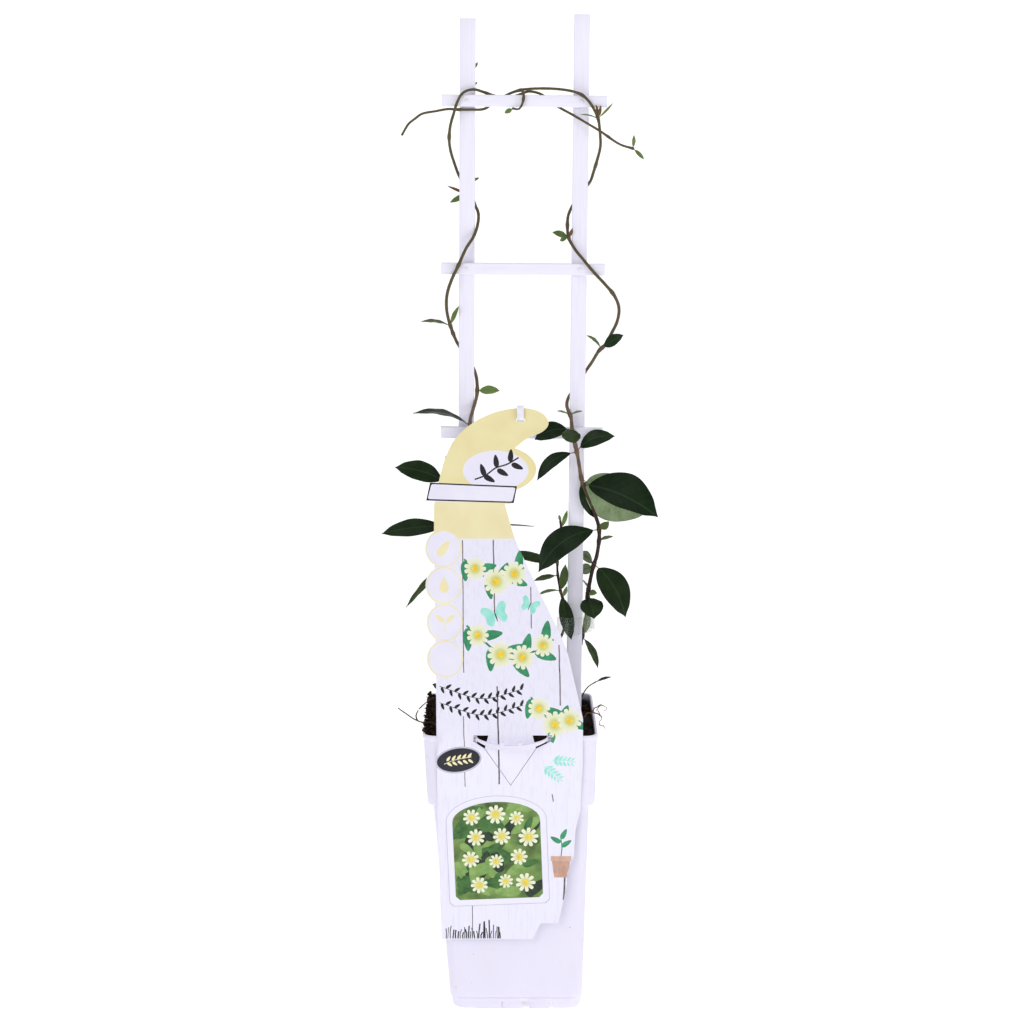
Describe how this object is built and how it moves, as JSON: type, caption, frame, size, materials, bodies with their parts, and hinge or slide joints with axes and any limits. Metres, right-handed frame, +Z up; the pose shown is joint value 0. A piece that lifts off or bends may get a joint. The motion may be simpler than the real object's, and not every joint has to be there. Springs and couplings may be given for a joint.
{
  "type": "star jasmine in a pot with a ladder trellis",
  "caption": "Young climbing plant with glossy leaves whose stems twine up a slim wooden ladder trellis, in a tall square plastic pot of soil with a hanging plant label.",
  "frame": {"origin": "under the centre of the pot, on the surface it stands on", "axes": "+Z up along the plant, front with the label towards -Y, +X to the right seen from the front"},
  "size_m": [0.2076, 0.141, 0.7502],
  "materials": {
    "pot_plastic": "satin moulded plastic, white",
    "soil": "moist peat soil with fibres",
    "painted_wood": "matt white paint on planed wood",
    "nail_steel": "small painted-over nail heads",
    "foliage": "glossy dark green leaves, paler underneath, on brown stems",
    "young_foliage": "soft light green",
    "label_plastic": "satin printed plastic sheet",
    "tie_plastic": "satin white plastic",
    "clear_tape": "clear glossy tape",
    "dry_wood": "dry brown bark"
  },
  "bodies": {
    "root": {"pot": "pot_plastic", "soil": "soil", "stile_left": "painted_wood", "stile_right": "painted_wood", "rung_top": "painted_wood", "rung_middle": "painted_wood", "rung_low": "painted_wood", "nail_top_left": "nail_steel", "nail_top_right": "nail_steel", "nail_middle_left": "nail_steel", "nail_middle_right": "nail_steel", "nail_low_left": "nail_steel", "nail_low_right": "nail_steel", "vine_left": "foliage", "vine_right": "foliage", "shoot_left": "foliage", "shoot_right": "foliage", "sprout": "young_foliage", "label": "label_plastic", "label_tie": "tie_plastic", "stem_tape": "clear_tape", "twig": "dry_wood", "rootlets": "dry_wood"}
  },
  "joints": []
}
